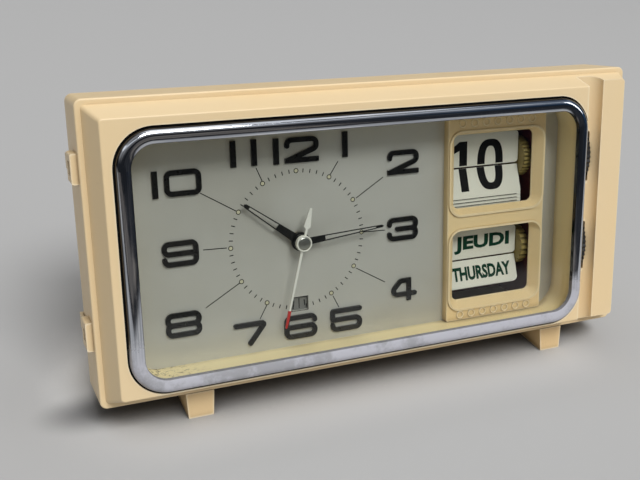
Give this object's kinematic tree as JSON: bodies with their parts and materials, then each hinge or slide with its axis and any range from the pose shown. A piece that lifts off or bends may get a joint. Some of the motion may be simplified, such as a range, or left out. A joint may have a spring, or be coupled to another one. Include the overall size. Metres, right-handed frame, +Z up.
{
  "type": "desk alarm clock with flip calendar",
  "caption": "Wide plastic desk clock with a round-handed dial behind glass on the left, a flip-leaf date and day calendar on the right and thumb wheels in a channel.",
  "frame": {"origin": "centre of the bounding box's underside, on the surface that the clock stands on", "axes": "+X to the clock's right as seen from the front, +Y to its back, +Z up"},
  "size_m": [0.2554, 0.1078, 0.1308],
  "materials": {
    "case_plastic": "satin",
    "cover_plastic": "satin",
    "chrome": "polished",
    "clear": "clear",
    "tray_cream": "satin",
    "dial_grey": "matte",
    "black_plastic": "satin",
    "card": "matte",
    "brass": "satin",
    "steel": "satin",
    "black_paint": "matte",
    "white_paint": "matte",
    "drum_plastic": "satin",
    "frame_red": "matte"
  },
  "bodies": {
    "case": {"front_case": "case_plastic", "rear_cover": "cover_plastic", "front_foot_left": "case_plastic", "front_foot_right": "case_plastic", "chrome_bezel": "chrome", "glass": "clear", "dial_surround": "tray_cream", "dial_plate": "dial_grey", "hour_numerals": "black_plastic", "dial_screws": "steel", "calendar_panel": "tray_cream", "calendar_frame": "frame_red", "date_leaves_upper": "card", "date_leaves_lower": "card", "day_leaves_upper": "card", "day_leaves_lower": "card", "date_detent": "steel", "day_detent": "steel", "movement_front_plate": "brass", "movement_back_plate": "brass", "movement_pillars": "steel", "alarm_bell": "steel", "hairspring": "steel"},
    "seconds_arbor": {"fourth_wheel": "brass", "second_hand": "white_paint"},
    "minute_arbor": {"centre_wheel": "brass", "cannon_pinion": "steel", "minute_hand": "black_paint"},
    "hour_pipe": {"hour_wheel": "brass", "hour_hand": "black_paint"},
    "third_arbor": {"third_wheel": "brass"},
    "escape_arbor": {"escape_wheel": "brass"},
    "set_arbor": {"minute_wheel": "brass", "hand_set_knob": "black_plastic"},
    "day_cam": {"day_cam_wheel": "brass"},
    "time_barrel": {"time_barrel": "brass"},
    "alarm_barrel": {"alarm_barrel": "brass"},
    "time_winding_key": {"time_key": "brass"},
    "alarm_winding_key": {"alarm_key": "brass"},
    "alarm_disc": {"alarm_disc": "dial_grey"},
    "alarm_setter": {"alarm_set_arbor": "steel", "alarm_set_knob": "black_plastic"},
    "alarm_hammer": {"alarm_hammer": "steel"},
    "alarm_stop": {"alarm_stop_button": "black_plastic"},
    "balance": {"balance_wheel": "brass"},
    "pallets": {"pallet_lever": "steel"},
    "date_wheel": {"date_arbor": "steel", "date_drum": "drum_plastic", "date_thumbwheel": "black_plastic"},
    "day_wheel": {"day_arbor": "steel", "day_drum": "drum_plastic", "day_thumbwheel": "black_plastic"},
    "date_flap": {"date_flap": "card"},
    "day_flap": {"day_flap": "card"},
    "calendar_slide": {"calendar_slide": "steel"}
  },
  "joints": [
    {"name": "seconds_spin", "type": "hinge", "parent": "case", "child": "seconds_arbor", "pos_m": [-0.0374, -0.01853, 0.06527], "axis": [0, 0.9804, -0.1971], "continuous": true},
    {"name": "minutes_spin", "type": "hinge", "parent": "case", "child": "minute_arbor", "pos_m": [-0.0374, -0.01853, 0.06527], "axis": [0, 0.9804, -0.1971], "continuous": true},
    {"name": "hours_spin", "type": "hinge", "parent": "case", "child": "hour_pipe", "pos_m": [-0.0374, -0.01853, 0.06527], "axis": [0, 0.9804, -0.1971], "continuous": true},
    {"name": "third_spin", "type": "hinge", "parent": "case", "child": "third_arbor", "pos_m": [-0.03038, -0.01614, 0.07719], "axis": [0, 0.9804, -0.1971], "continuous": true},
    {"name": "escape_spin", "type": "hinge", "parent": "case", "child": "escape_arbor", "pos_m": [-0.02521, -0.01992, 0.05837], "axis": [0, 0.9804, -0.1971], "continuous": true},
    {"name": "hand_set_spin", "type": "hinge", "parent": "case", "child": "set_arbor", "pos_m": [-0.0374, -0.02137, 0.05115], "axis": [0, 0.9804, -0.1971], "continuous": true},
    {"name": "day_cam_spin", "type": "hinge", "parent": "case", "child": "day_cam", "pos_m": [-0.00284, -0.01853, 0.06527], "axis": [0, 0.9804, -0.1971], "continuous": true},
    {"name": "time_barrel_spin", "type": "hinge", "parent": "case", "child": "time_barrel", "pos_m": [-0.05161, -0.01955, 0.0602], "axis": [0, 0.9804, -0.1971], "continuous": true},
    {"name": "alarm_barrel_spin", "type": "hinge", "parent": "case", "child": "alarm_barrel", "pos_m": [-0.0579, -0.01449, 0.08537], "axis": [0, 0.9804, -0.1971], "continuous": true},
    {"name": "time_winding", "type": "hinge", "parent": "case", "child": "time_winding_key", "pos_m": [-0.05161, -0.01955, 0.0602], "axis": [0, 0.9804, -0.1971], "continuous": true},
    {"name": "alarm_winding", "type": "hinge", "parent": "case", "child": "alarm_winding_key", "pos_m": [-0.0579, -0.01449, 0.08537], "axis": [0, 0.9804, -0.1971], "continuous": true},
    {"name": "alarm_disc_spin", "type": "hinge", "parent": "case", "child": "alarm_disc", "pos_m": [-0.0374, -0.01853, 0.06527], "axis": [0, 0.9804, -0.1971], "continuous": true},
    {"name": "alarm_set_spin", "type": "hinge", "parent": "case", "child": "alarm_setter", "pos_m": [-0.04459, -0.01502, 0.08273], "axis": [0, 0.9804, -0.1971], "continuous": true},
    {"name": "hammer_swing", "type": "hinge", "parent": "case", "child": "alarm_hammer", "pos_m": [-0.0073, -0.0142, 0.08684], "axis": [0, 0.9804, -0.1971], "range_deg": [-12, 6]},
    {"name": "alarm_stop_slide", "type": "slide", "parent": "case", "child": "alarm_stop", "axis": [0, 0.9804, -0.1971], "range_m": [-0.004, 0]},
    {"name": "balance_swing", "type": "hinge", "parent": "case", "child": "balance", "pos_m": [-0.00992, -0.02227, 0.04666], "axis": [0, 0.9804, -0.1971], "range_deg": [-135, 135], "stiffness_Nm_per_rad": 0.000002},
    {"name": "pallet_swing", "type": "hinge", "parent": "case", "child": "pallets", "pos_m": [-0.0178, -0.02106, 0.0527], "axis": [0, 0.9804, -0.1971], "range_deg": [-8, 8]},
    {"name": "date_wheel_spin", "type": "hinge", "parent": "case", "child": "date_wheel", "pos_m": [0.06, -0.00986, 0.08862], "axis": [1, 0, 0], "continuous": true},
    {"name": "day_wheel_spin", "type": "hinge", "parent": "case", "child": "day_wheel", "pos_m": [0.06, -0.01825, 0.04686], "axis": [1, 0, 0], "continuous": true},
    {"name": "date_flap_fall", "type": "hinge", "parent": "case", "child": "date_flap", "pos_m": [0.057, -0.01437, 0.08749], "axis": [1, 0, 0], "range_deg": [0, 155]},
    {"name": "day_flap_fall", "type": "hinge", "parent": "case", "child": "day_flap", "pos_m": [0.057, -0.02296, 0.04474], "axis": [1, 0, 0], "range_deg": [0, 155]},
    {"name": "calendar_lift", "type": "slide", "parent": "case", "child": "calendar_slide", "axis": [0, 0.1971, 0.9804], "range_m": [0, 0.004]}
  ],
  "couplings": [
    {"joint": "minutes_spin", "follows": "seconds_spin", "ratio": 0.016667},
    {"joint": "hours_spin", "follows": "seconds_spin", "ratio": 0.0013889},
    {"joint": "third_spin", "follows": "seconds_spin", "ratio": -0.13333},
    {"joint": "escape_spin", "follows": "seconds_spin", "ratio": -7.5},
    {"joint": "hand_set_spin", "follows": "seconds_spin", "ratio": -0.0055556},
    {"joint": "day_cam_spin", "follows": "seconds_spin", "ratio": -0.00069444},
    {"joint": "time_barrel_spin", "follows": "seconds_spin", "ratio": -0.0020833},
    {"joint": "alarm_set_spin", "follows": "alarm_disc_spin", "ratio": -3}
  ]
}
